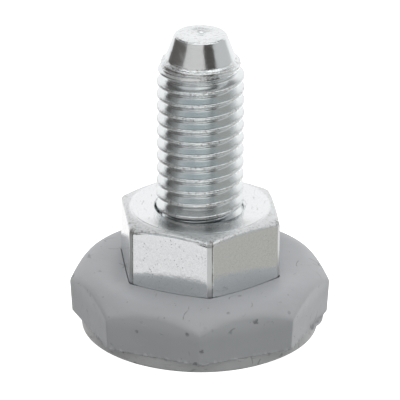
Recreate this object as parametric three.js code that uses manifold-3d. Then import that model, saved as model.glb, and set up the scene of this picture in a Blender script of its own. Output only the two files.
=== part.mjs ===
// Furniture levelling foot: a threaded stud that screws through a captive hex nut, in an
// octagonal moulded base whose underside is closed by a round glide sole.
// Millimetres, +Z up. The origin is on the floor, at the middle of the sole, and the stud's
// axis is Z. -Y is the front, where one corner of the octagon points.
import * as THREE from 'three';
import { ParametricGeometry } from 'three/addons/geometries/ParametricGeometry.js';
import { mergeVertices } from 'three/addons/utils/BufferGeometryUtils.js';
import Module from 'manifold-3d';

const wasm = await Module();
wasm.setup();

// Driving dimensions.

const GAP = 0.3; // clear space between neighbouring pieces
const WELD = 1e-4; // points closer than this are one point

const THREAD_RADIUS = 4.93; // M10 major radius, class 6g
const THREAD_PITCH = 1.5; // M10 coarse
const THREAD_DEPTH = 0.6134 * THREAD_PITCH; // ISO metric external thread
const CREST_WIDTH = THREAD_PITCH / 8;
const FLANK_ANGLE = THREE.MathUtils.degToRad(30);
const THREAD_DATUM = 0.425; // height of one crest above +X, which sets where the thread starts
const BLANK_RADIUS = 4.42; // smooth bar that the thread is rolled on
const RUN_OUT = 1.6; // length over which the last turn fades into the blank
const THREAD_CLEARANCE = 0.4; // between the thread's crests and the nut's bore
const TURN_STEPS = 24;

const STUD_BOTTOM = 2.2;
const THREAD_END = 32; // where the run-out ends and the shoulder of the pilot cone begins
const CONE_BASE = 32.55;
const CONE_RADIUS = 3.92; // at the cone's base
const STUD_TOP = 35.35;
const TIP_RADIUS = 2.75;
const TIP_ROUND = 0.22; // rounding of the cone's upper rim
const DISH_RADIUS = 2.1;
const DISH_DEPTH = 0.12; // hollow in the stud's end face

const HEXAGON_SIDES = 6;
const NUT_ACROSS_FLATS = 17; // M10 hex nut
const NUT_BOTTOM = 6.55;
const NUT_TOP = 14.55;
const NUT_YAW = THREE.MathUtils.degToRad(6.8); // front corner, turned to the right
const NUT_CORNER_CUT = 0.17; // flat on each upright corner
const NUT_FACE_RADIUS = 7.75; // washer face inside the chamfers
const CHAMFER_ANGLE = THREE.MathUtils.degToRad(17);
const NUT_BORE_RADIUS = THREAD_RADIUS + THREAD_CLEARANCE;
const COLLAR_RADIUS = 6.8; // round collar under the hexagon, moulded into the base
const COLLAR_BOTTOM = 3.7;
const BARB_RADIUS = 7.3; // ring on the collar that keeps it from pulling out
const BARB_BOTTOM = 4.1;
const BARB_TOP = 4.9;

const OCTAGON_SIDES = 8;
const OCTAGON_RADIUS = 14.77; // to the corners, at the height of CORNER_TOP
const CORNER_TOP = 5.3; // where an upright corner meets the dome
const DRAFT = 0.062; // widening of the facets per millimetre of height
const CREST_HEIGHT = 7.55; // highest ring of the dome
const CREST_RADIUS = 11.9;
const SEAT_LEVEL = 7.2; // dome surface against the nut's flats
const SHOULDER_RADIUS = 14; // end of the dome's round shoulder
const SHOULDER_HEIGHT = 6.15;

const SOLE_RADIUS = 13.4;
const SOLE_THICKNESS = 1.15;
const SOLE_EDGE = 0.2; // rounding of the edge that meets the floor
const RIB_INNER = 9.5; // ring rib that locates the sole in the base
const RIB_OUTER = 10.7;
const RIB_TOP = 3;

const BODY_BOTTOM = SOLE_THICKNESS + GAP;
const ROUND_STEPS = 48;
const DOME_STEPS = 5; // straight pieces in each curve of the dome's outline
const OVERRUN = 1; // how far a cutting tool runs past what it cuts

// Geometry helpers.

/** Joins points that coincide and drops triangles that have no area left. */
function weld(geometry) {
  geometry.deleteAttribute('normal');
  geometry.deleteAttribute('uv');
  const welded = mergeVertices(geometry, WELD);
  const corners = welded.getIndex().array;
  const kept = [];
  for (let i = 0; i < corners.length; i += 3) {
    const [a, b, c] = corners.slice(i, i + 3);
    if (a !== b && b !== c && c !== a) kept.push(a, b, c);
  }
  welded.setIndex(kept);
  return welded;
}

/** A closed three.js geometry as a solid that can be cut and joined. */
function toSolid(geometry) {
  const welded = weld(geometry);
  return new wasm.Manifold(new wasm.Mesh({
    numProp: 3,
    vertProperties: new Float32Array(welded.getAttribute('position').array),
    triVerts: new Uint32Array(welded.getIndex().array),
  }));
}

/** A cut solid as a three.js geometry. */
function toGeometry(solid) {
  const mesh = solid.getMesh();
  const geometry = new THREE.BufferGeometry();
  geometry.setAttribute('position', new THREE.BufferAttribute(mesh.vertProperties, 3));
  geometry.setIndex(new THREE.BufferAttribute(mesh.triVerts, 1));
  return geometry;
}

/** Turns an outline of [radius, height] points, listed upwards on its outside, about Z. */
function revolve(outline, steps = ROUND_STEPS) {
  const points = outline.map(([radius, height]) => new THREE.Vector2(radius, height));
  return new THREE.LatheGeometry(points, steps).rotateX(Math.PI / 2);
}

/** A bar along Z with six flats, each upright corner cut by a small flat. */
function hexagonBar(acrossFlats, cornerCut, bottom, top) {
  const shape = new THREE.Shape();
  const cornerRadius = acrossFlats / Math.sqrt(3);
  for (let corner = 0; corner < HEXAGON_SIDES; corner += 1) {
    const angle = NUT_YAW - Math.PI / 2 + (corner * 2 * Math.PI) / HEXAGON_SIDES;
    for (const side of [-1, 1]) {
      const tangent = angle + (side * Math.PI) / 2;
      const radius = cornerRadius - cornerCut;
      const half = cornerCut * Math.sqrt(3);
      const x = radius * Math.cos(angle) + half * Math.cos(tangent);
      const y = radius * Math.sin(angle) + half * Math.sin(tangent);
      if (corner === 0 && side === -1) shape.moveTo(x, y);
      else shape.lineTo(x, y);
    }
  }
  shape.closePath();
  const bar = new THREE.ExtrudeGeometry(shape, { depth: top - bottom, bevelEnabled: false });
  return bar.translate(0, 0, bottom);
}

// Pieces.

/** Rolled thread with a pilot cone: rows of points that climb one pitch per turn. */
function studGeometry() {
  const flankWidth = THREAD_DEPTH * Math.tan(FLANK_ANGLE);
  const profile = [
    { rise: -CREST_WIDTH / 2, radius: THREAD_RADIUS },
    { rise: CREST_WIDTH / 2, radius: THREAD_RADIUS },
    { rise: CREST_WIDTH / 2 + flankWidth, radius: THREAD_RADIUS - THREAD_DEPTH },
    { rise: THREAD_PITCH - CREST_WIDTH / 2 - flankWidth, radius: THREAD_RADIUS - THREAD_DEPTH },
  ];
  const firstTurn = Math.floor((STUD_BOTTOM - THREAD_DATUM) / THREAD_PITCH) - 2;
  const lastTurn = Math.ceil((THREAD_END - THREAD_DATUM) / THREAD_PITCH) + 1;

  const ring = (radius, height) => () => ({ radius, height });
  const helix = (point, turn) => (u) => {
    const climb = THREAD_DATUM + (turn + u) * THREAD_PITCH + point.rise;
    const height = THREE.MathUtils.clamp(climb, STUD_BOTTOM, THREAD_END);
    const above = (height - STUD_BOTTOM) / THREAD_PITCH;
    const below = (THREAD_END - height) / RUN_OUT;
    const fullness = THREE.MathUtils.clamp(Math.min(above, below), 0, 1);
    return { radius: THREE.MathUtils.lerp(BLANK_RADIUS, point.radius, fullness), height };
  };

  const rows = [ring(0, STUD_BOTTOM)];
  for (let turn = firstTurn; turn <= lastTurn; turn += 1) {
    for (const point of profile) rows.push(helix(point, turn));
  }
  rows.push(ring(CONE_RADIUS, CONE_BASE));
  rows.push(ring(TIP_RADIUS + TIP_ROUND, STUD_TOP - TIP_ROUND));
  rows.push(ring(TIP_RADIUS, STUD_TOP));
  rows.push(ring(DISH_RADIUS, STUD_TOP));
  rows.push(ring(DISH_RADIUS / 2, STUD_TOP - DISH_DEPTH));
  rows.push(ring(0, STUD_TOP - DISH_DEPTH));

  const surface = (u, v, target) => {
    const row = rows[Math.round(THREE.MathUtils.clamp(v, 0, 1) * (rows.length - 1))];
    const { radius, height } = row(u);
    const angle = 2 * Math.PI * u;
    target.set(radius * Math.cos(angle), radius * Math.sin(angle), height);
  };
  return weld(new ParametricGeometry(surface, TURN_STEPS, rows.length - 1));
}

/** Double-chamfered hexagon with a barbed round collar below it, bored for the stud. */
function nutGeometry() {
  const rimRadius = NUT_ACROSS_FLATS / Math.sqrt(3) + OVERRUN;
  const rimDrop = (rimRadius - NUT_FACE_RADIUS) * Math.tan(CHAMFER_ANGLE);
  const chamfers = revolve([
    [0, NUT_BOTTOM],
    [NUT_FACE_RADIUS, NUT_BOTTOM],
    [rimRadius, NUT_BOTTOM + rimDrop],
    [rimRadius, NUT_TOP - rimDrop],
    [NUT_FACE_RADIUS, NUT_TOP],
    [0, NUT_TOP],
  ]);
  const collar = revolve([
    [0, COLLAR_BOTTOM],
    [COLLAR_RADIUS, COLLAR_BOTTOM],
    [BARB_RADIUS, BARB_BOTTOM],
    [BARB_RADIUS, BARB_TOP],
    [COLLAR_RADIUS, BARB_TOP],
    [COLLAR_RADIUS, NUT_BOTTOM + OVERRUN],
    [0, NUT_BOTTOM + OVERRUN],
  ]);
  const bore = revolve([
    [0, COLLAR_BOTTOM - OVERRUN],
    [NUT_BORE_RADIUS, COLLAR_BOTTOM - OVERRUN],
    [NUT_BORE_RADIUS, NUT_TOP + OVERRUN],
    [0, NUT_TOP + OVERRUN],
  ]);
  const hexagon = toSolid(hexagonBar(NUT_ACROSS_FLATS, NUT_CORNER_CUT, NUT_BOTTOM, NUT_TOP));
  const nut = hexagon.intersect(toSolid(chamfers)).add(toSolid(collar)).subtract(toSolid(bore));
  return toGeometry(nut);
}

/** Domed octagon, cut for the nut, its collar, the stud's lower end and the sole's rib. */
function bodyGeometry() {
  const height = CREST_HEIGHT + OVERRUN - BODY_BOTTOM;
  const topRadius = OCTAGON_RADIUS + (CREST_HEIGHT + OVERRUN - CORNER_TOP) * DRAFT;
  const bottomRadius = OCTAGON_RADIUS - (CORNER_TOP - BODY_BOTTOM) * DRAFT;
  const facets = new THREE.CylinderGeometry(topRadius, bottomRadius, height, OCTAGON_SIDES)
    .rotateX(Math.PI / 2)
    .translate(0, 0, BODY_BOTTOM + height / 2);

  const slope = (SHOULDER_HEIGHT - CORNER_TOP) / (OCTAGON_RADIUS - SHOULDER_RADIUS);
  const rim = OCTAGON_RADIUS + OVERRUN;
  const dome = new THREE.Path();
  dome.moveTo(0, BODY_BOTTOM - OVERRUN);
  dome.lineTo(rim, BODY_BOTTOM - OVERRUN);
  dome.lineTo(rim, CORNER_TOP - OVERRUN * slope);
  dome.lineTo(SHOULDER_RADIUS, SHOULDER_HEIGHT);
  dome.quadraticCurveTo(
    SHOULDER_RADIUS - (CREST_HEIGHT - SHOULDER_HEIGHT) / slope, CREST_HEIGHT,
    CREST_RADIUS, CREST_HEIGHT,
  );
  dome.quadraticCurveTo(
    (CREST_RADIUS + NUT_ACROSS_FLATS / 2) / 2, CREST_HEIGHT,
    NUT_ACROSS_FLATS / 2, SEAT_LEVEL,
  );
  dome.lineTo(0, SEAT_LEVEL);
  const domeOutline = dome.getPoints(DOME_STEPS).map((point) => [point.x, point.y]);

  const seatFloor = NUT_BOTTOM - GAP;
  const bore = revolve([
    [0, BODY_BOTTOM - OVERRUN],
    [THREAD_RADIUS + 2 * GAP, BODY_BOTTOM - OVERRUN],
    [THREAD_RADIUS + 2 * GAP, COLLAR_BOTTOM - GAP],
    [COLLAR_RADIUS + GAP, COLLAR_BOTTOM - GAP],
    [BARB_RADIUS + GAP, BARB_BOTTOM - GAP],
    [BARB_RADIUS + GAP, BARB_TOP + GAP],
    [COLLAR_RADIUS + GAP, BARB_TOP + GAP],
    [COLLAR_RADIUS + GAP, seatFloor + OVERRUN],
    [0, seatFloor + OVERRUN],
  ]);
  const seat = hexagonBar(NUT_ACROSS_FLATS + 2 * GAP, 0, seatFloor, CREST_HEIGHT + OVERRUN);
  const groove = revolve([
    [RIB_INNER - GAP, BODY_BOTTOM - OVERRUN],
    [RIB_OUTER + GAP, BODY_BOTTOM - OVERRUN],
    [RIB_OUTER + GAP, RIB_TOP + GAP],
    [RIB_INNER - GAP, RIB_TOP + GAP],
    [RIB_INNER - GAP, BODY_BOTTOM - OVERRUN],
  ]);
  const body = toSolid(facets)
    .intersect(toSolid(revolve(domeOutline)))
    .subtract(toSolid(seat))
    .subtract(toSolid(bore))
    .subtract(toSolid(groove));
  return toGeometry(body);
}

/** Round wear disc with a ring rib on top that sits in the base's groove. */
function soleGeometry() {
  return weld(revolve([
    [0, 0],
    [SOLE_RADIUS - SOLE_EDGE, 0],
    [SOLE_RADIUS, SOLE_EDGE],
    [SOLE_RADIUS, SOLE_THICKNESS],
    [RIB_OUTER, SOLE_THICKNESS],
    [RIB_OUTER, RIB_TOP],
    [RIB_INNER, RIB_TOP],
    [RIB_INNER, SOLE_THICKNESS],
    [0, SOLE_THICKNESS],
  ]));
}

// Materials.

const zinc = () => new THREE.MeshStandardMaterial({ color: 0xc4cacd, roughness: 0.25, metalness: 1 });
const satinZinc = () => new THREE.MeshStandardMaterial({ color: 0xc9cbc6, roughness: 0.4, metalness: 1 });
const greyPlastic = () => new THREE.MeshStandardMaterial({ color: 0x9b9ea1, roughness: 0.55, metalness: 0 });
const solePlastic = () => new THREE.MeshStandardMaterial({ color: 0x8f9294, roughness: 0.6, metalness: 0 });

// Scene graph.

/** One named piece with its own material. */
function piece(name, geometry, material) {
  const mesh = new THREE.Mesh(geometry, material);
  mesh.name = name;
  return mesh;
}

const foot = new THREE.Group();
foot.add(piece('threaded_stud', studGeometry(), zinc()));
foot.add(piece('hex_nut', nutGeometry(), satinZinc()));
foot.add(piece('base_body', bodyGeometry(), greyPlastic()));
foot.add(piece('glide_sole', soleGeometry(), solePlastic()));

export default foot;
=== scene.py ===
"""Furniture levelling foot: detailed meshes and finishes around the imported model.

Lengths inside the shape functions are millimetres, and every mesh is scaled to metres once,
when it is built. +Z is up, the stud's axis is Z, and -Y is the front.
"""
import math

import bpy
import numpy as np
from mathutils import Matrix, Vector


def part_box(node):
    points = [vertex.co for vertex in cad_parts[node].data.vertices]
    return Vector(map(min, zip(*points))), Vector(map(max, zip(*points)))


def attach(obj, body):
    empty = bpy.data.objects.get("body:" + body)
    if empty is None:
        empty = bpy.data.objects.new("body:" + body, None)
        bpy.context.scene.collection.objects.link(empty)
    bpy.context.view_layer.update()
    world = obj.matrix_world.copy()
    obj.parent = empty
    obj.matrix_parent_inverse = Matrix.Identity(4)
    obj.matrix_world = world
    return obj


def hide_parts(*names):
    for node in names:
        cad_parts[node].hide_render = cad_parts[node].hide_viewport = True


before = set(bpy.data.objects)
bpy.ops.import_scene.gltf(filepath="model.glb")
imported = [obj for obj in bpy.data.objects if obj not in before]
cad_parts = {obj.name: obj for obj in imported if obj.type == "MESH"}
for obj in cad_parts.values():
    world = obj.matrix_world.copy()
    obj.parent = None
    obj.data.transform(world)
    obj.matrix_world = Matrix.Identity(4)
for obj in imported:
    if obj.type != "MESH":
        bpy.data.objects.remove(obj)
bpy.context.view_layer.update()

bl_info = {
    "name": "Levelling Foot",
    "version": (1, 0, 0),
    "blender": (4, 5, 0),
    "location": "View3D > Sidebar > Levelling Foot",
    "description": "Builds a furniture levelling foot: stud, hex nut, octagonal base and glide sole",
    "category": "Add Mesh",
}

MM = 0.001
TURN = 2 * math.pi
FRONT = -math.pi / 2
DEGREES = 360 / TURN

# Lengths below are millimetres, unless a name or comment says otherwise.
WELD = 1e-5  # points this close become one
ROUND_STEPS = 6  # rows on each rounded corner of a profile
CHAMFER = 0.31  # fall of the nut's chamfers for each millimetre outwards
NUT_SIDES = 6
BARB_REACH = 0.5  # how far the barb stands out of the nut's collar
BARB_HEIGHT = 0.8
THREAD_GAP = 0.12  # between the stud's crests and the nut's thread
SNUG = 0.03  # between the nut and its seat
BASE_SIDES = 8
BORE_RADIUS = 5.5  # bore of the base, under the nut's collar
GROOVE_INNER, GROOVE_OUTER, GROOVE_TOP = 9.2, 11.0, 3.3  # ring groove under the base
RIB_INNER, RIB_OUTER = 9.5, 10.7  # the sole's rib, which stands in the groove
LEDGE_RADIUS = 13.3  # where the base's underside steps down to its flash
DOME_KNEE = 14.0  # radius where the dome turns into a straight slope
SENSOR_WIDTH = 36.0
FLOOR_REACH = 3.0  # from the middle of the floor to its edge, in metres


def span(node):
    """Lowest and highest corner of a CAD node, in millimetres."""
    low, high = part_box(node)
    return low / MM, high / MM


STUD_LOW, STUD_HIGH = span("threaded_stud")
NUT_LOW, NUT_HIGH = span("hex_nut")
BODY_LOW, BODY_HIGH = span("base_body")
SOLE_LOW, SOLE_HIGH = span("glide_sole")


# Sizes and colours that a user would change.


def length(name, description, value, low=0.0, high=60.0):
    """A length property that is kept in millimetres."""
    return bpy.props.FloatProperty(
        name=name, description=description, default=value, min=low, max=high, precision=3
    )


def colour(name, description, value):
    """A linear colour property."""
    return bpy.props.FloatVectorProperty(
        name=name, description=description, default=value, size=3, min=0.0, max=1.0, subtype="COLOR"
    )


class StudSettings(bpy.types.PropertyGroup):
    """Threaded stud, in millimetres."""

    radius: length("Thread radius", "Radius over the crests", (STUD_HIGH.x - STUD_LOW.x) / 2)
    pitch: length("Pitch", "Rise of the thread in one turn", 1.5)
    datum: length("Thread datum", "Height of one crest above +X", 0.425)
    bottom: length("Bottom", "Height of the lower end", STUD_LOW.z)
    top: length("Top", "Height of the upper end", STUD_HIGH.z)
    cone_base: length("Cone base", "Height where the pilot cone begins", STUD_HIGH.z - 2.8)
    bar_radius: length("Bar radius", "Radius of the plain bar where the thread fades", 4.42)
    cone_radius: length("Cone radius", "Radius of the pilot cone at its foot", 3.92)
    tip_radius: length("Tip radius", "Radius of the stud's end", 2.97)
    run_out: length("Run-out", "Length over which the last turn fades", 1.6)
    tint: colour("Zinc", "Colour of the bright zinc plating", (0.79, 0.82, 0.83))


class NutSettings(bpy.types.PropertyGroup):
    """Hex nut, in millimetres."""

    flats: length("Across flats", "Spanner size", 17.0)
    top: length("Top", "Height of the upper face", NUT_HIGH.z)
    bottom: length("Bottom", "Height of the hexagon's lower face", NUT_HIGH.z - 8.0)
    face_radius: length("Face radius", "Radius of the flat ring inside the chamfer", 7.75)
    corner_cut: length("Corner flat", "Depth of the flat on each upright corner", 0.17)
    sink_radius: length("Countersink radius", "Radius of the countersink's rim", 5.2)
    collar_radius: length("Collar radius", "Radius of the hidden collar", 6.8)
    collar_bottom: length("Collar bottom", "Height of the hidden collar's lower end", NUT_LOW.z)
    yaw: bpy.props.FloatProperty(
        name="Yaw", description="Turn of the front corner to the right",
        default=math.radians(6.8), subtype="ANGLE",
    )
    tint: colour("Zinc", "Colour of the satin zinc plating", (0.81, 0.83, 0.84))


class BodySettings(bpy.types.PropertyGroup):
    """Octagonal base, in millimetres."""

    corner_radius: length("Corner radius", "Axis to an octagon corner at its top", 14.77)
    corner_top: length("Corner top", "Height where an upright corner meets the dome", 5.3)
    draft: length("Draft", "Widening of the facets per millimetre of height", 0.062)
    seam: length("Seam", "Height of the joint line with the sole", BODY_LOW.z)
    crest: length("Crest", "Height of the dome's highest ring", BODY_HIGH.z)
    edge: length("Edge", "Rounding of the edge between dome and facets", 0.4)
    flash: length("Flash", "Reach of the moulding flash along the seam", 0.07)
    tint: colour("Plastic", "Colour of the grey base", (0.47, 0.485, 0.505))


class SoleSettings(bpy.types.PropertyGroup):
    """Glide sole, in millimetres."""

    radius: length("Radius", "Radius of the sole", (SOLE_HIGH.x - SOLE_LOW.x) / 2)
    edge: length("Edge", "Rounding of the lower edge", 0.35)
    tint: colour("Plastic", "Colour of the grey sole", (0.54, 0.542, 0.55))


class StageSettings(bpy.types.PropertyGroup):
    """Camera, floor and light."""

    elevation: bpy.props.FloatProperty(
        name="Elevation", description="Camera height above the horizon",
        default=math.radians(24.1), subtype="ANGLE",
    )
    roll: bpy.props.FloatProperty(
        name="Roll", description="Turn of the camera about its own axis",
        default=math.radians(0.22), subtype="ANGLE",
    )
    distance: bpy.props.FloatProperty(
        name="Distance", description="Camera to aim point",
        default=0.529, min=0.1, unit="LENGTH",
    )
    aim: bpy.props.FloatProperty(
        name="Aim height", description="Height of the aim point on the stud's axis",
        default=0.01513, unit="LENGTH",
    )
    lens: bpy.props.FloatProperty(
        name="Lens", description="Focal length in millimetres on a 36 mm sensor",
        default=422.6, min=10.0,
    )
    floor: colour("Floor", "Colour of the floor", (0.9, 0.9, 0.9))


# Surfaces: grids of points over two parameters.


def spread(count, corners, first, crowd):
    """Angles round the circle, closer together near evenly spaced corners.

    theta = u - crowd / corners * sin(corners * (u - first)).
    """
    u = np.arange(count) * TURN / count
    return u - crowd / corners * np.sin(corners * (u - first))


def polygon_radius(theta, normals, distances, sharpness):
    """Radius of a polygon with soft corners, for each angle.

    One over the sharpness-norm of cos(theta - normal) / distance over the sides it faces.
    """
    facing = np.maximum(np.cos(theta[:, None] - normals[None, :]) / distances[None, :], 0)
    nearest = facing.max(axis=1)
    share = ((facing / nearest[:, None]) ** sharpness).sum(axis=1)
    return 1 / (nearest * share ** (1 / sharpness))


def hexagon_radius(theta, nut, sharpness, gap=0.0, corner_gap=0.0):
    """Radius of the nut's hexagon with a small flat on each corner, grown by a gap on both."""
    sides = FRONT + nut.yaw + math.pi / NUT_SIDES + np.arange(NUT_SIDES) * TURN / NUT_SIDES
    cuts = FRONT + nut.yaw + np.arange(NUT_SIDES) * TURN / NUT_SIDES
    side = nut.flats / 2 + gap
    cut = nut.flats / math.sqrt(3) - nut.corner_cut + corner_gap
    distances = np.concatenate([np.full(NUT_SIDES, side), np.full(NUT_SIDES, cut)])
    return polygon_radius(theta, np.concatenate([sides, cuts]), distances, sharpness)


def waves(theta, low, high, seed):
    """Periodic ripple of unit size: a sum of whole-number harmonics with random phases."""
    random = np.random.default_rng(seed)
    orders = np.arange(low, high + 1)
    phases = random.uniform(0, TURN, orders.size)
    heights = random.normal(0, 1, orders.size)
    ripple = (heights * np.sin(theta[..., None] * orders + phases)).sum(axis=-1)
    return ripple / math.sqrt(orders.size / 2)


def soft_floor(value, width):
    """Value kept above zero with a rounded knee: (value + sqrt(value^2 + width^2)) / 2."""
    return (value + np.sqrt(value**2 + width**2)) / 2


def smooth(value, low, high):
    """Smoothstep of value from 0 at low to 1 at high."""
    t = np.clip((value - low) / (high - low), 0, 1)
    return t * t * (3 - 2 * t)


def to_points(theta, radius, height):
    """Points of a surface from its cylinder coordinates."""
    theta, radius, height = np.broadcast_arrays(theta, radius, height)
    return np.stack([radius * np.cos(theta), radius * np.sin(theta), height], axis=-1)


def ring(theta, radius, height):
    """One row of a profile: radius and height at every angle."""
    return np.stack([radius + 0 * theta, height + 0 * theta], axis=-1)


def heading(start, end):
    """Unit directions from one row to another."""
    way = end - start
    return way / np.maximum(np.linalg.norm(way, axis=-1, keepdims=True), 1e-9)


def profile_rows(corners):
    """Rows along a profile that runs straight between corners, each rounded by a curve.

    corners holds (row, cut, steps): the corner's radius and height at every angle, the length
    that its quadratic curve takes from both legs, and the rows on the leg that leads to it.
    """
    rows = [corners[0][0]]
    for index in range(1, len(corners)):
        corner, cut, steps = corners[index]
        start = rows[-1]
        rounded = index < len(corners) - 1 and np.any(cut)
        end = corner - heading(corners[index - 1][0], corner) * cut if rounded else corner
        for t in np.linspace(0, 1, steps + 1)[1:]:
            rows.append(start + (end - start) * t)
        if rounded:
            leave = corner + heading(corner, corners[index + 1][0]) * cut
            for t in np.linspace(0, 1, ROUND_STEPS + 1)[1:]:
                rows.append(end * (1 - t) ** 2 + corner * 2 * t * (1 - t) + leave * t * t)
    return np.array(rows)


def triangles(points, lead=0):
    """Triangles of a grid whose columns close into rings.

    The last column joins the first, lead rows further on, so lead is the rows in one turn of a
    climbing surface and zero on rings. Rows run along the profile and columns against the clock.
    """
    rows, columns = points.shape[:2]
    row = np.arange(rows - 1)[:, None]
    column = np.arange(columns)[None, :]
    ahead = (column + 1) % columns
    climb = np.where(column == columns - 1, lead, 0)
    near = row * columns + column
    far = (row + 1) * columns + column
    near_ahead = np.minimum(row + climb, rows - 1) * columns + ahead
    far_ahead = np.minimum(row + 1 + climb, rows - 1) * columns + ahead
    first = np.stack([near, near_ahead, far_ahead], axis=-1).reshape(-1, 3)
    second = np.stack([near, far_ahead, far], axis=-1).reshape(-1, 3)
    return np.concatenate([first, second])


def closed_mesh(name, grids):
    """One closed mesh from grids of points that share their end rows, welded and facing out."""
    points = []
    faces = []
    offset = 0
    for grid, lead in grids:
        points.append(grid.reshape(-1, 3))
        faces.append(triangles(grid, lead) + offset)
        offset += grid.shape[0] * grid.shape[1]
    points = np.concatenate(points)
    faces = np.concatenate(faces)
    _, keep, welded = np.unique(np.round(points / WELD), axis=0, return_index=True, return_inverse=True)
    faces = welded.reshape(-1)[faces]
    points = points[keep]
    distinct = (
        (faces[:, 0] != faces[:, 1]) & (faces[:, 1] != faces[:, 2]) & (faces[:, 2] != faces[:, 0])
    )
    faces = faces[distinct]
    a, b, c = points[faces[:, 0]], points[faces[:, 1]], points[faces[:, 2]]
    if (a * np.cross(b, c)).sum() < 0:
        faces = faces[:, ::-1]
    mesh = bpy.data.meshes.new(name)
    mesh.vertices.add(len(points))
    mesh.vertices.foreach_set("co", (points * MM).astype(np.float32).ravel())
    mesh.loops.add(faces.size)
    mesh.loops.foreach_set("vertex_index", faces.astype(np.int32).ravel())
    mesh.polygons.add(len(faces))
    mesh.polygons.foreach_set("loop_start", np.arange(0, faces.size, 3, dtype=np.int32))
    mesh.polygons.foreach_set("use_smooth", np.ones(len(faces), dtype=bool))
    mesh.update(calc_edges=True)
    mesh.validate()
    return mesh


def add_piece(mesh, material, body, node):
    """Puts a mesh in the scene as the piece that stands for a CAD node."""
    piece = bpy.data.objects.new(mesh.name, mesh)
    bpy.context.scene.collection.objects.link(piece)
    mesh.materials.append(material)
    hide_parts(node)
    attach(piece, body)
    return piece


# Thread, shared by the stud and the nut.


def thread_depth(offset, pitch, crest, root):
    """How far a metric thread lies below its crest, at an offset along Z from the crest's middle.

    A 60 degree V with a flat crest, 2/11 of the pitch wide, cut off at 0.6134 of the pitch,
    with knees of width crest and root.
    """
    depth = 0.6134 * pitch
    fall = (np.abs(offset) - pitch / 11) / math.tan(math.radians(30))
    return depth - soft_floor(depth - soft_floor(fall, crest), root)


def climbing_rows(theta, pitch, datum, low, high, per_turn):
    """Heights of rows that climb one pitch per turn, held between low and high, and their
    offsets from the nearest crest.
    """
    first = math.floor((low - datum) / pitch) - 2
    last = math.ceil((high - datum) / pitch) + 1
    count = (last - first) * per_turn + 1
    start = datum + first * pitch + np.arange(count)[:, None] * pitch / per_turn
    climb = start + pitch * theta[None, :] / TURN
    height = np.clip(climb, low, high)
    turns = (height - datum - pitch * theta[None, :] / TURN) / pitch
    offset = (turns - np.round(turns)) * pitch
    return height, offset


# Shader graphs.


class Value:
    """A node socket that takes part in Python arithmetic."""

    def __init__(self, graph, socket):
        self.graph = graph
        self.socket = socket

    def __add__(self, other):
        return self.graph.math("ADD", self, other)

    def __sub__(self, other):
        return self.graph.math("SUBTRACT", self, other)

    def __mul__(self, other):
        return self.graph.math("MULTIPLY", self, other)

    def __truediv__(self, other):
        return self.graph.math("DIVIDE", self, other)

    def __neg__(self):
        return self.graph.math("MULTIPLY", self, -1.0)

    def __radd__(self, other):
        return self.graph.math("ADD", other, self)

    def __rsub__(self, other):
        return self.graph.math("SUBTRACT", other, self)

    def __rmul__(self, other):
        return self.graph.math("MULTIPLY", other, self)

    def __rtruediv__(self, other):
        return self.graph.math("DIVIDE", other, self)


def opaque(tone):
    """A colour with full alpha, and a socket as it is."""
    return (*tone, 1.0) if isinstance(tone, tuple) else tone


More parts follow.
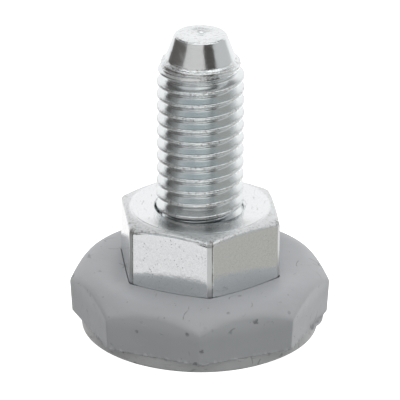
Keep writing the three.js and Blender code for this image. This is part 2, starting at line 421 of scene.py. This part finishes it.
class Graph:
    """A node tree, emptied, with short ways to add nodes."""

    def __init__(self, tree):
        self.tree = tree
        tree.nodes.clear()

    def node(self, kind, settings=None, inputs=None):
        """A node with its settings, and the values or links of its sockets."""
        made = self.tree.nodes.new(kind)
        for key, value in (settings or {}).items():
            setattr(made, key, value)
        for key, value in (inputs or {}).items():
            source = value.socket if isinstance(value, Value) else value
            if isinstance(source, bpy.types.NodeSocket):
                self.tree.links.new(source, made.inputs[key])
            else:
                made.inputs[key].default_value = source
        return made

    def math(self, operation, *values):
        """A Math node on one to three values."""
        inputs = dict(enumerate(values))
        made = self.node("ShaderNodeMath", {"operation": operation}, inputs)
        return Value(self, made.outputs[0])

    def step(self, value, low, high):
        """Smoothstep from 0 at low to 1 at high, which may be the lesser of the two."""
        made = self.node(
            "ShaderNodeMapRange",
            {"interpolation_type": "SMOOTHSTEP"},
            {"Value": value, "From Min": low, "From Max": high},
        )
        return Value(self, made.outputs["Result"])

    def vector(self, operation, *values):
        """A Vector Math node on vectors."""
        inputs = dict(enumerate(values))
        made = self.node("ShaderNodeVectorMath", {"operation": operation}, inputs)
        return made.outputs["Vector"]

    def distance(self, place, centre):
        """How far a place lies from a fixed point."""
        inputs = {0: place, 1: centre}
        made = self.node("ShaderNodeVectorMath", {"operation": "DISTANCE"}, inputs)
        return Value(self, made.outputs["Value"])

    def noise(self, place, scale, detail=2.0, roughness=0.5):
        """Fractal noise from 0 to 1, scale features to a millimetre."""
        made = self.node(
            "ShaderNodeTexNoise",
            None,
            {"Vector": place, "Scale": scale, "Detail": detail, "Roughness": roughness},
        )
        return Value(self, made.outputs[0])

    def cells(self, place, scale):
        """Distance to the nearest of many scattered points, scale points to a millimetre."""
        made = self.node(
            "ShaderNodeTexVoronoi", {"feature": "F1"}, {"Vector": place, "Scale": scale}
        )
        return Value(self, made.outputs["Distance"])

    def mix_colour(self, factor, low, high):
        """A colour between two, by a factor."""
        inputs = {0: factor, 6: opaque(low), 7: opaque(high)}
        return self.node("ShaderNodeMix", {"data_type": "RGBA"}, inputs).outputs[2]

    def millimetres(self):
        """The place on the object, in millimetres, as a vector socket."""
        place = self.node("ShaderNodeTexCoord").outputs["Object"]
        return self.vector("MULTIPLY", place, (1 / MM, 1 / MM, 1 / MM))

    def parts(self, place):
        """The three coordinates of a vector."""
        made = self.node("ShaderNodeSeparateXYZ", None, {0: place})
        return [Value(self, output) for output in made.outputs]

    def finish(self, colour_socket, roughness, height, metallic, specular=0.5):
        """The surface shader, with a bump whose height is in millimetres."""
        bump = self.node(
            "ShaderNodeBump", None, {"Strength": 1.0, "Distance": MM, "Height": height}
        )
        shader = self.node(
            "ShaderNodeBsdfPrincipled",
            None,
            {
                "Base Color": colour_socket,
                "Roughness": roughness,
                "Metallic": metallic,
                "Specular IOR Level": specular,
                "Normal": bump.outputs[0],
            },
        )
        self.node("ShaderNodeOutputMaterial", None, {"Surface": shader.outputs[0]})


def new_graph(name):
    """A material and its empty graph."""
    material = bpy.data.materials.new(name)
    material.use_nodes = True
    return material, Graph(material.node_tree)


def bright_zinc(settings):
    """Bright zinc on a rolled thread: faint marks round the stud, rough and stained crests and
    lips, and a dented end.
    """
    material, graph = new_graph("bright_zinc")
    place = graph.millimetres()
    x, y, z = graph.parts(place)
    radius = graph.math("SQRT", x * x + y * y)
    crest = graph.step(radius, settings.radius - 0.2, settings.radius - 0.04)
    ends = graph.step(z, settings.cone_base - 1.3, settings.cone_base - 0.7)
    lips = ends * graph.step(z, settings.cone_base + 0.2, settings.cone_base)
    rough = graph.math("MAXIMUM", crest, lips)
    drawn = graph.noise(graph.vector("MULTIPLY", place, (0.25, 0.25, 9.0)), 1.6, 3.0, 0.6)
    grit = graph.noise(place, 3.4, 2.0, 0.7)
    grain = graph.noise(place, 9.0, 2.0, 0.6)
    cloud = graph.noise(place, 0.5, 2.0, 0.5)
    dents = graph.noise(place, 1.1, 3.0, 0.6)
    cap = graph.step(z, settings.top - 0.3, settings.top - 0.05)
    height = (
        drawn * 0.0006 + grain * 0.0012 + grit * rough * 0.045
        + cloud * ends * 0.05 + dents * (0.012 * ends + 0.09 * cap)
    )
    stain = graph.step(graph.noise(place, 2.6, 2.0, 0.6), 0.52, 0.7)
    stain = stain * graph.math("MAXIMUM", rough, 0.5 * cap)
    bright = graph.mix_colour(
        cloud, tuple(0.95 * part for part in settings.tint), tuple(settings.tint)
    )
    tone = graph.mix_colour(stain * 0.6, bright, (0.42, 0.38, 0.36))
    graph.finish(tone, 0.15 + 0.06 * cloud + 0.08 * rough, height, 1.0)
    return material


def satin_zinc(settings):
    """Satin zinc with orange peel and small dirty pits, granular chamfers, marks on the upper face and
    painted shade on its front that stands for the stud's dark reflection, dull corner flats and a dark
    line down one side of each corner.
    """
    material, graph = new_graph("satin_zinc")
    place = graph.millimetres()
    x, y, z = graph.parts(place)
    radius = graph.math("SQRT", x * x + y * y)
    angle = graph.math("ARCTAN2", y, x) - (FRONT + settings.yaw)
    aside = graph.math("WRAP", angle, math.pi / 6, -math.pi / 6) * radius
    wander = graph.noise(place, 1.2, 3.0, 0.6)
    line = graph.step(graph.math("ABSOLUTE", aside - 0.3 + (wander - 0.5) * 0.16), 0.09, 0.03)
    line = line * graph.step(wander, 0.3, 0.5) * graph.step(radius, 9.1, 9.25)
    fall = (radius - settings.face_radius) * CHAMFER
    rim = graph.step(graph.math("ABSOLUTE", z - settings.top + fall), 0.3, 0.1)
    corner = graph.step(radius, 8.6, 9.4)
    edge = rim * graph.step(radius, settings.face_radius, settings.face_radius + 0.4)
    lid = graph.step(z, settings.top - 0.03, settings.top - 0.01)
    peel = graph.noise(place, 1.7, 2.0, 0.5)
    grain = graph.noise(place, 5.0, 3.0, 0.65)
    grit = graph.noise(place, 3.0, 3.0, 0.7)
    pits = graph.step(graph.cells(place, 2.7), 0.2, 0.08)
    specks = pits * graph.step(graph.noise(place, 1.1, 2.0, 0.6), 0.46, 0.6)
    turned = graph.noise(graph.vector("MULTIPLY", place, (2.2, 0.5, 1.0)), 1.3, 4.0, 0.7)
    height = (
        peel * 0.015 + grain * (0.005 + 0.004 * lid) - specks * 0.015 - line * 0.04
        + grit * edge * 0.09 + turned * lid * 0.035
    )
    darkening = graph.math("MAXIMUM", specks * 0.3, line * 0.8)
    darkening = graph.math("MAXIMUM", darkening, graph.step(grit, 0.48, 0.64) * edge * (0.35 + 0.35 * corner))
    marks_and_painted_reflection = graph.step(turned, 0.58, 0.7) * lid * 0.35
    # Painted shade: the front of the upper face near the stud is darkened to stand for the stud's dark
    # reflection.
    painted_stud_reflection = graph.step(radius, 8.4, 6.4) * graph.step(y, -3.0, -6.0) * lid * (0.3 + 0.3 * turned)
    marks_and_painted_reflection = graph.math("MAXIMUM", marks_and_painted_reflection, painted_stud_reflection)
    strip = graph.step(graph.math("ABSOLUTE", aside), 0.36, 0.28) * graph.step(radius, 9.1, 9.25)
    dull = graph.math("MAXIMUM", 0.1 * graph.step(grain, 0.35, 0.7) * (1 - lid), 0.28 * strip)
    # Besides dirt and marks, this darkening holds the painted reflection of the stud.
    darkening = graph.math("MAXIMUM", graph.math("MAXIMUM", darkening, marks_and_painted_reflection), dull)
    tone = graph.mix_colour(darkening, tuple(settings.tint), (0.2, 0.19, 0.18))
    graph.finish(tone, 0.12 + 0.05 * wander + 0.07 * lid + 0.25 * edge + 0.25 * strip, height, 1.0)
    return material


def hairlines(graph, place, scale, width):
    """Thin wandering lines: where a noise crosses its middle value, broken up by another."""
    wander = graph.noise(place, scale, 1.0, 0.4)
    broken = graph.step(graph.noise(place, scale * 1.7, 2.0, 0.5), 0.57, 0.64)
    return graph.step(graph.math("ABSOLUTE", wander - 0.5), width, width * 0.3) * broken


# Dark spots on the plastic: centre and size in millimetres.
SPOTS = (
    ((6.2, -12.1, 5.8), 0.32), ((4.9, -12.0, 6.4), 0.2), ((3.4, -13.0, 5.6), 0.26),
    ((2.4, -13.0, 5.8), 0.2), ((0.3, -14.6, 3.2), 0.26), ((-0.4, -14.5, 1.5), 0.34),
    ((-8.9, -10.6, 1.1), 0.36), ((-11.9, -6.0, 6.0), 0.36), ((-2.4, -12.9, 6.1), 0.26),
    ((6.9, -10.0, 6.9), 0.3),
)
# Pale chips, in the same way.
CHIPS = (((-6.5, -11.0, 6.4), 0.18), ((-11.0, -4.0, 6.3), 0.18), ((-0.5, -11.8, 6.75), 0.5))


def scattered(graph, place, ragged, spots):
    """One inside any of the spots, with ragged outlines."""
    inside = 0.0
    for centre, size in spots:
        away = graph.distance(place, centre) / size + ragged
        inside = graph.math("MAXIMUM", inside, graph.step(away, 1.1, 0.7))
    return inside


def grey_plastic(name, settings):
    """Satin moulded plastic with painted light and shade, lighter on the dome and darker below the
    shoulder: mottled skin, dark specks and smudges that gather on the shoulder and the seam, nicks
    along the seam, hairline scratches, and pale rubbed patches and chips.
    """
    material, graph = new_graph(name)
    tint = tuple(settings.tint)
    place = graph.millimetres()
    x, y, z = graph.parts(place)
    radius = graph.math("SQRT", x * x + y * y)
    cloud = graph.noise(place, 0.16, 3.0, 0.6)
    mottle = graph.noise(place, 0.8, 4.0, 0.65)
    skin = graph.noise(place, 5.0, 3.0, 0.6)
    sag = graph.noise(place, 0.4, 2.0, 0.5)
    ridge = graph.step(graph.math("ABSOLUTE", z - 5.7), 1.0, 0.2) * graph.step(radius, 12.2, 13.2)
    seam = graph.step(z, 2.3, 1.5)
    grime = graph.math("MAXIMUM", ridge, seam)
    few = graph.step(graph.noise(place, 0.5, 1.0, 0.5) + 0.12 * grime, 0.55, 0.7)
    specks = graph.step(graph.cells(place, 0.55), 0.17, 0.07) * few
    ragged = 4.0 * (graph.noise(place, 3.0, 3.0, 0.75) - 0.5)
    specks = graph.math("MAXIMUM", specks, scattered(graph, place, ragged, SPOTS))
    chips = scattered(graph, place, ragged, CHIPS)
    dots = graph.step(graph.cells(place, 1.3), 0.16, 0.07)
    dots = dots * graph.step(graph.noise(place, 0.9, 1.0, 0.5), 0.56, 0.66)
    smudge = graph.step(mottle, 0.6, 0.78) * (0.12 + 0.5 * ridge)
    scrape = graph.noise(graph.vector("MULTIPLY", place, (0.9, 0.9, 2.0)), 1.5, 4.0, 0.75)
    nicks = graph.step(scrape, 0.6, 0.7) * seam
    lines = hairlines(graph, place, 0.3, 0.012)
    rubbed = graph.noise(graph.vector("MULTIPLY", place, (0.6, 0.6, 4.0)), 1.0, 4.0, 0.7)
    pale = graph.math("MAXIMUM", graph.step(rubbed, 0.66, 0.78), chips)
    height = (
        skin * 0.004 + sag * 0.07 + mottle * 0.012 - specks * 0.05 - lines * 0.03
        - nicks * 0.05 + pale * 0.03
    )
    # Painted light and shade: the colour is lighter on the dome above 6 mm and darker below 4 mm, which
    # covers the whole sole, mixed with a random cloud of tone.
    cloud_and_painted_shade = 0.5 * cloud + 0.5 * graph.step(z, 4.0, 6.0)
    base = graph.mix_colour(
        cloud_and_painted_shade, tuple(0.8 * part for part in tint), tuple(1.12 * part for part in tint)
    )
    scuffed = graph.mix_colour(pale * 0.3, base, tuple(1.35 * part for part in tint))
    darkening = graph.math("MAXIMUM", specks * 0.6, dots * 0.45)
    darkening = graph.math("MAXIMUM", darkening, graph.math("MAXIMUM", smudge * 0.35, lines * 0.4))
    darkening = graph.math("MAXIMUM", darkening, nicks * 0.5)
    dirty = graph.mix_colour(darkening, scuffed, tuple(0.22 * part for part in tint))
    graph.finish(dirty, 0.3 + 0.1 * cloud + 0.06 * skin + 0.1 * mottle, height, 0.0, 0.5)
    return material


# Pieces.


def stud_mesh(s):
    """Rolled thread whose radius is the crest less the thread's depth, cut by a 45 degree cone at
    its lower end and faded into the bar at its upper end, with a few thin lips, a pilot cone and a
    dished end above it.
    """
    columns = 128
    per_turn = 30
    theta = np.arange(columns) * TURN / columns
    shoulder = s.cone_base - 0.55
    height, offset = climbing_rows(theta, s.pitch, s.datum, s.bottom, s.cone_base, per_turn)
    full = smooth(shoulder - height, 0, s.run_out)
    along = theta[None, :] + TURN * np.round((height - s.datum) / s.pitch)
    ripple = np.sin(3.1 * along) + np.sin(7.3 * along + 1) + np.sin(17.9 * along + 2)
    groove = np.exp(-((offset / 0.07) ** 2)) * (0.005 + 0.003 * ripple)
    deep = thread_depth(offset, s.pitch, crest=0.03, root=0.04) + groove
    bar = s.bar_radius - (s.bar_radius - s.cone_radius) * smooth(height, shoulder, s.cone_base) ** 1.5
    wander = 0.04 * waves(theta, 1, 3, 5)[None, :]
    lips = 0
    for level, reach in ((-0.12, 0.07), (0.22, 0.07), (0.47, 0.05)):
        lips = lips + reach * np.exp(-(((height - shoulder - level - wander) / 0.06) ** 2))
    crown = 0.1 * np.exp(-((offset / 0.2) ** 2)) * 4 * full * (1 - full)
    radius = bar + (s.radius - deep - bar) * full + lips + crown
    end_radius = s.cone_radius
    radius = np.minimum(radius, end_radius + height - s.bottom)
    body = to_points(theta[None, :], radius, height)

    wobble = 1 + 0.004 * waves(theta, 2, 7, 3)
    rim = s.tip_radius
    dish = rim - 0.8
    level = s.top - 0.02
    corners = [
        (ring(theta, radius[-1], s.cone_base), 0, 1),
        (ring(theta, s.cone_radius, s.cone_base + 0.12), 0.05, 2),
        (ring(theta, rim * wobble, s.top - 0.06), 0.28, 8),
        (ring(theta, (rim - 0.55) * wobble, level), 0.1, 2),
        (ring(theta, dish, level), 0, 1),
    ]
    rows = profile_rows(corners)
    tip = to_points(theta[None, :], rows[..., 0], rows[..., 1])
    inner = dish * np.linspace(1, 0, 40)[:, None]
    sunk = smooth(dish - inner, 0, 1.2)
    dimple_x, dimple_y = 0.05, 0.45
    x = inner * np.cos(theta) + dimple_x * sunk
    y = inner * np.sin(theta) + dimple_y * sunk
    away = np.hypot(x - dimple_x, y - dimple_y)
    dent = 0.05 * sunk + 0.12 * np.exp(-((away / 0.5) ** 2)) + 0.07 * np.exp(-((away / 1.0) ** 2))
    cup = np.stack([x, y, level - dent * sunk], axis=-1)
    foot = to_points(theta[None, :], np.array([[0.0], [end_radius]]), s.bottom)
    return closed_mesh("stud", [(foot, 0), (body, per_turn), (tip, 0), (cup, 0)])


def nut_mesh(s, stud):
    """Hexagon with both ends cut by 17 degree cones, worn more at the corners, a countersunk
    inner thread that is shallower than the stud's and clear of its crests, and the hidden
    collar with its barb.
    """
    columns = 288
    per_turn = 14
    theta = spread(columns, NUT_SIDES, FRONT + s.yaw, 0.72)
    outer = hexagon_radius(theta, s, 400)
    fall = CHAMFER * (outer - s.face_radius)
    worn = 0.3 + 0.2 * smooth(outer, 8.7, 9.5)[:, None]

    height, offset = climbing_rows(theta, stud.pitch, stud.datum, s.collar_bottom, s.top, per_turn)
    ridge = thread_depth(offset, stud.pitch, crest=0.06, root=0.2) * 0.86
    thread = stud.radius + THREAD_GAP - ridge
    sink = s.sink_radius - np.minimum(s.top - height, height - s.collar_bottom)
    inner = to_points(theta[None, :], np.maximum(thread, sink), height)

    barb = s.collar_bottom + 0.4
    barb_top = barb + BARB_HEIGHT
    barb_radius = s.collar_radius + BARB_REACH
    corners = [
        (ring(theta, s.sink_radius, s.top), 0, 1),
        (ring(theta, s.sink_radius + 0.05, s.top), 0, 1),
        (ring(theta, s.face_radius, s.top), 0.12, 6),
        (ring(theta, outer, s.top - fall), worn, 4),
        (ring(theta, outer, s.bottom + fall), worn, 10),
        (ring(theta, s.face_radius, s.bottom), 0.1, 4),
        (ring(theta, s.collar_radius, s.bottom), 0.05, 2),
        (ring(theta, s.collar_radius, barb_top), 0.05, 3),
        (ring(theta, barb_radius, barb_top), 0.05, 1),
        (ring(theta, barb_radius, barb), 0.05, 1),
        (ring(theta, s.collar_radius, s.collar_bottom), 0.05, 1),
        (ring(theta, s.sink_radius, s.collar_bottom), 0, 3),
    ]
    rows = profile_rows(corners)
    shell = to_points(theta[None, :], rows[..., 0], rows[..., 1])
    return closed_mesh("nut", [(inner, per_turn), (shell, 0)])


def dome_height(radius, crest):
    """Height of the base's dome: a shallow dish inside its crest, a shoulder that falls with the
    2.5th power of the radius outside it, and a straight slope beyond the knee.
    """
    dish = 0.35 * np.clip((11.9 - radius) / 3.4, 0, 1.6) ** 2
    shoulder = 0.1377 * np.clip(radius - 11.5, 0, 2.5) ** 2.5
    slope = 1.15 * np.clip(radius - DOME_KNEE, 0, None)
    return crest - dish - shoulder - slope


def body_mesh(s, nut):
    """Octagon with drafted facets under a dome, a hexagonal seat that hugs the nut, the bore for
    its collar and the stud, a ring groove for the sole's rib, and a lip of flash along the seam
    that is ragged in front and torn on the right.
    """
    columns = 640
    half_side = math.pi / BASE_SIDES
    theta = spread(columns, BASE_SIDES, FRONT, 0.55)
    normals = FRONT + half_side + np.arange(BASE_SIDES) * TURN / BASE_SIDES
    apothem = s.corner_radius * math.cos(half_side)
    facet = polygon_radius(theta, normals, np.full(BASE_SIDES, apothem), 300)

    def widen(height):
        """Radius of the drafted facets at a height."""
        return facet * (1 + (height - s.corner_top) * s.draft / s.corner_radius)

    # The height where the facets meet the dome settles when it is averaged with the dome's.
    top = np.full(columns, s.corner_top)
    for _ in range(30):
        top = (top + dome_height(widen(top), s.crest)) / 2
    rim = widen(top)

    seat = hexagon_radius(theta, nut, 300, gap=SNUG, corner_gap=0.1)
    floor = nut.bottom - SNUG
    well_bottom = nut.collar_bottom - 0.05
    well_top = nut.collar_bottom + 1.25
    well_radius = nut.collar_radius + BARB_REACH + 0.05
    collar_hole = nut.collar_radius + 0.05

    azimuth = np.degrees(np.angle(np.exp(1j * (theta - FRONT))))
    ragged = s.flash * np.clip(0.4 + waves(theta, 18, 150, 11), 0, 2.5) * smooth(np.abs(azimuth), 75, 60)
    tab = smooth(azimuth, 66, 74) * smooth(azimuth, 87, 80) * (0.85 + 0.08 * waves(theta, 20, 60, 8))
    lip = ragged + 0.3 * tab
    under = s.seam - 0.45 * tab - 0.25 * ragged

    corners = [
        (ring(theta, BORE_RADIUS, s.seam), 0, 1),
        (ring(theta, BORE_RADIUS, well_bottom), 0, 2),
        (ring(theta, well_radius, well_bottom), 0, 1),
        (ring(theta, well_radius, well_top), 0, 1),
        (ring(theta, collar_hole, well_top), 0, 1),
        (ring(theta, collar_hole, floor), 0, 2),
        (ring(theta, seat, floor), 0, 2),
        (ring(theta, seat, dome_height(seat, s.crest) + 0.02), 0.04, 2),
    ]
    inset = rim - s.edge
    for share in np.linspace(0, 1, 26)[1:]:
        reach = seat + (inset - seat) * share
        corners.append((ring(theta, reach, dome_height(reach, s.crest)), 0, 1))
    rows = list(profile_rows(corners))
    start = rows[-1]
    edge = ring(theta, rim, top)
    finish = ring(theta, widen(top - s.edge), top - s.edge)
    for t in np.linspace(0, 1, 9)[1:]:
        rows.append(start * (1 - t) ** 2 + edge * 2 * t * (1 - t) + finish * t * t)
    skirt = [
        (finish, 0, 1),
        (ring(theta, widen(s.seam + 0.22), s.seam + 0.22), 0, 14),
        (ring(theta, widen(s.seam) + lip * 0.8, s.seam + 0.1), 0, 2),
        (ring(theta, widen(s.seam) + lip, s.seam), 0, 1),
        (ring(theta, widen(s.seam) + lip * 0.85, under), 0, 1),
        (ring(theta, LEDGE_RADIUS, under), 0, 2),
        (ring(theta, LEDGE_RADIUS - 0.04, s.seam), 0, 1),
        (ring(theta, GROOVE_OUTER, s.seam), 0, 1),
        (ring(theta, GROOVE_OUTER, GROOVE_TOP), 0, 1),
        (ring(theta, GROOVE_INNER, GROOVE_TOP), 0, 1),
        (ring(theta, GROOVE_INNER, s.seam), 0, 1),
        (ring(theta, BORE_RADIUS, s.seam), 0, 1),
    ]
    rows.extend(profile_rows(skirt)[1:])
    rows = np.array(rows)
    sag = waves(theta, 2, 6, 21)[None, :] * 0.03 * smooth(rows[..., 0], 9.5, 12) * (rows[..., 1] > 4)
    points = to_points(theta[None, :], rows[..., 0], rows[..., 1] + sag)
    return closed_mesh("body", [(points, 0)])


def sole_mesh(s, body):
    """Disc with a rounded lower edge and the hidden rib that locates it in the base."""
    columns = 400
    theta = np.arange(columns) * TURN / columns
    radius = s.radius * (1 + 0.0012 * waves(theta, 2, 8, 31))
    top = body.seam - 0.02
    corners = [
        (ring(theta, 0.0, 0.0), 0, 1),
        (ring(theta, radius, 0.0), s.edge, 14),
        (ring(theta, radius + 0.04, top), 0.08, 8),
        (ring(theta, RIB_OUTER, top), 0.05, 2),
        (ring(theta, RIB_OUTER, SOLE_HIGH.z), 0.05, 1),
        (ring(theta, RIB_INNER, SOLE_HIGH.z), 0.05, 1),
        (ring(theta, RIB_INNER, top), 0.05, 1),
        (ring(theta, 0.0, top), 0, 4),
    ]
    rows = profile_rows(corners)
    return closed_mesh("sole", [(to_points(theta[None, :], rows[..., 0], rows[..., 1]), 0)])


# Stage.


# The light tent's panels, each laid over those before it: azimuth from the front towards the
# right, elevation, half width, half height and softness of the edge in degrees, then the colour.
PANELS = (
    (0, -80, 180, 38, 10, (0.17, 0.17, 0.16)),  # table below the foot
    (0, -90, 180, 30, 8, (0.05, 0.05, 0.05)),  # shade straight under it
    (172, -10, 66, 50, 12, (1.08, 1.07, 1.07)),  # backdrop
    (140, -40, 40, 14, 8, (1.5, 1.5, 1.5)),  # backdrop's sweep on the right
    (20, -39, 86, 9, 5, (0.46, 0.53, 0.55)),  # grey table close in front
    (34, -38, 8, 10, 6, (0.27, 0.3, 0.3)),  # darker strip across it
    (-27, -21, 45, 8, 4, (0.92, 0.91, 0.91)),  # bright table in front on the left
    (8, -22, 24, 7, 5, (1.45, 1.44, 1.4)),  # brightest part of the table
    (78, -20, 32, 9, 4, (0.5, 0.49, 0.455)),  # warm wall low on the right
    (-92, -3, 34, 17, 3, (0.12, 0.11, 0.105)),  # dark flag on the left
    (0, 1, 60, 8, 2, (0.03, 0.03, 0.03)),  # dark room behind the camera
    (85, 14, 35, 22, 8, (0.62, 0.62, 0.62)),  # wall on the right
    (-21, 26, 37, 17, 3, (0.75, 0.73, 0.72)),  # soft box above the camera
    (34, 15, 19, 11, 3, (0.08, 0.075, 0.07)),  # flag beside it
    (80, 44, 25, 10, 6, (0.92, 0.92, 0.92)),  # soft box on the right
    (0, 65, 180, 15, 6, (1.52, 1.52, 1.52)),  # ring of lamps overhead
    (128, 60, 22, 16, 6, (0.26, 0.26, 0.26)),  # gap in the ring, back right
    (-126, 54, 25, 20, 8, (0.08, 0.08, 0.078)),  # gap in the ring, back left
    (0, 90, 180, 14, 5, (0.43, 0.46, 0.465)),  # ceiling
)

SURROUND = (0.38, 0.38, 0.375)  # the tent between the panels


def build_world():
    """Light tent: the colour of each direction, from soft-edged panels on a grey surround."""
    world = bpy.data.worlds.new("light_tent")
    bpy.context.scene.world = world
    world.use_nodes = True
    graph = Graph(world.node_tree)
    direction = graph.node("ShaderNodeTexCoord").outputs["Generated"]
    x, y, z = graph.parts(direction)
    azimuth = graph.math("ARCTAN2", x, -y) * DEGREES
    elevation = graph.math("ARCSINE", z) * DEGREES
    glow = SURROUND
    for middle, height, wide, tall, soft, panel in PANELS:
        aside = graph.math("ABSOLUTE", graph.math("WRAP", azimuth - middle, 180.0, -180.0))
        above = graph.math("ABSOLUTE", elevation - height)
        inside = graph.step(aside, wide + soft, wide - soft) * graph.step(
            above, tall + soft, tall - soft
        )
        glow = graph.mix_colour(inside, glow, panel)
    background = graph.node("ShaderNodeBackground", None, {"Color": glow})
    graph.node("ShaderNodeOutputWorld", None, {"Surface": background.outputs[0]})


def build_floor(s):
    """Plain pale floor, evenly lit from below, that only the camera sees: the light tent lights the
    foot from under it.
    """
    material, graph = new_graph("pale_floor")
    shader = graph.node(
        "ShaderNodeBsdfPrincipled",
        None,
        {
            "Base Color": (*s.floor, 1.0),
            "Roughness": 0.9,
            "Specular IOR Level": 0.0,
            "Emission Color": (1.0, 1.0, 1.0, 1.0),
            "Emission Strength": 0.95,
        },
    )
    graph.node("ShaderNodeOutputMaterial", None, {"Surface": shader.outputs[0]})
    mesh = bpy.data.meshes.new("floor")
    corners = [(x * FLOOR_REACH, y * FLOOR_REACH, 0) for x, y in ((-1, -1), (1, -1), (1, 1), (-1, 1))]
    mesh.from_pydata(corners, [], [(0, 1, 2, 3)])
    mesh.materials.append(material)
    floor = bpy.data.objects.new("floor", mesh)
    bpy.context.scene.collection.objects.link(floor)
    floor.visible_diffuse = False
    floor.visible_glossy = False
    floor.visible_shadow = False


def build_camera(s):
    """Camera in front, above the horizon, aimed at the stud's axis."""
    data = bpy.data.cameras.new("camera")
    data.lens = s.lens
    data.sensor_width = SENSOR_WIDTH
    data.clip_start = 0.01
    data.clip_end = 20.0
    camera = bpy.data.objects.new("camera", data)
    bpy.context.scene.collection.objects.link(camera)
    back = Vector((0.0, -math.cos(s.elevation), math.sin(s.elevation)))
    turn = (-back).to_track_quat("-Z", "Y").to_matrix().to_4x4()
    place = Matrix.Translation(Vector((0.0, 0.0, s.aim)) + back * s.distance)
    camera.matrix_world = place @ turn @ Matrix.Rotation(s.roll, 4, "Z")
    bpy.context.scene.camera = camera


# Operators, one for each piece and one for the stage.


class FOOT_OT_stud(bpy.types.Operator):
    """Build the threaded stud"""

    bl_idname = "levelling_foot.stud"
    bl_label = "Stud"

    def execute(self, context):
        s = context.scene.foot_stud
        add_piece(stud_mesh(s), bright_zinc(s), "stud", "threaded_stud")
        return {"FINISHED"}


class FOOT_OT_nut(bpy.types.Operator):
    """Build the captive hex nut"""

    bl_idname = "levelling_foot.nut"
    bl_label = "Nut"

    def execute(self, context):
        s = context.scene.foot_nut
        add_piece(nut_mesh(s, context.scene.foot_stud), satin_zinc(s), "foot", "hex_nut")
        return {"FINISHED"}


class FOOT_OT_body(bpy.types.Operator):
    """Build the octagonal base"""

    bl_idname = "levelling_foot.body"
    bl_label = "Base"

    def execute(self, context):
        s = context.scene.foot_body
        mesh = body_mesh(s, context.scene.foot_nut)
        add_piece(mesh, grey_plastic("base_plastic", s), "foot", "base_body")
        return {"FINISHED"}


class FOOT_OT_sole(bpy.types.Operator):
    """Build the glide sole"""

    bl_idname = "levelling_foot.sole"
    bl_label = "Sole"

    def execute(self, context):
        s = context.scene.foot_sole
        mesh = sole_mesh(s, context.scene.foot_body)
        add_piece(mesh, grey_plastic("sole_plastic", s), "foot", "glide_sole")
        return {"FINISHED"}


class FOOT_OT_stage(bpy.types.Operator):
    """Build the camera, floor and light"""

    bl_idname = "levelling_foot.stage"
    bl_label = "Stage"

    def execute(self, context):
        s = context.scene.foot_stage
        build_camera(s)
        build_floor(s)
        build_world()
        context.scene.view_settings.view_transform = "Standard"
        return {"FINISHED"}


class FOOT_PT_panel(bpy.types.Panel):
    """Buttons for every piece and the stage"""

    bl_idname = "FOOT_PT_panel"
    bl_label = "Levelling Foot"
    bl_space_type = "VIEW_3D"
    bl_region_type = "UI"
    bl_category = "Levelling Foot"

    def draw(self, context):
        for operator in OPERATORS:
            self.layout.operator(operator.bl_idname)


SETTINGS = {
    "foot_stud": StudSettings,
    "foot_nut": NutSettings,
    "foot_body": BodySettings,
    "foot_sole": SoleSettings,
    "foot_stage": StageSettings,
}
OPERATORS = (FOOT_OT_stage, FOOT_OT_stud, FOOT_OT_nut, FOOT_OT_body, FOOT_OT_sole)


def register():
    """Registers the classes and hangs the settings on the scene."""
    for name, group in SETTINGS.items():
        bpy.utils.register_class(group)
        setattr(bpy.types.Scene, name, bpy.props.PointerProperty(type=group))
    for cls in (*OPERATORS, FOOT_PT_panel):
        bpy.utils.register_class(cls)


def unregister():
    """Takes back what register did."""
    for cls in (FOOT_PT_panel, *reversed(OPERATORS)):
        bpy.utils.unregister_class(cls)
    for name, group in reversed(SETTINGS.items()):
        delattr(bpy.types.Scene, name)
        bpy.utils.unregister_class(group)


def main():
    """Builds everything."""
    register()
    bpy.ops.levelling_foot.stage()
    bpy.ops.levelling_foot.stud()
    bpy.ops.levelling_foot.nut()
    bpy.ops.levelling_foot.body()
    bpy.ops.levelling_foot.sole()


if __name__ == "__main__":
    main()
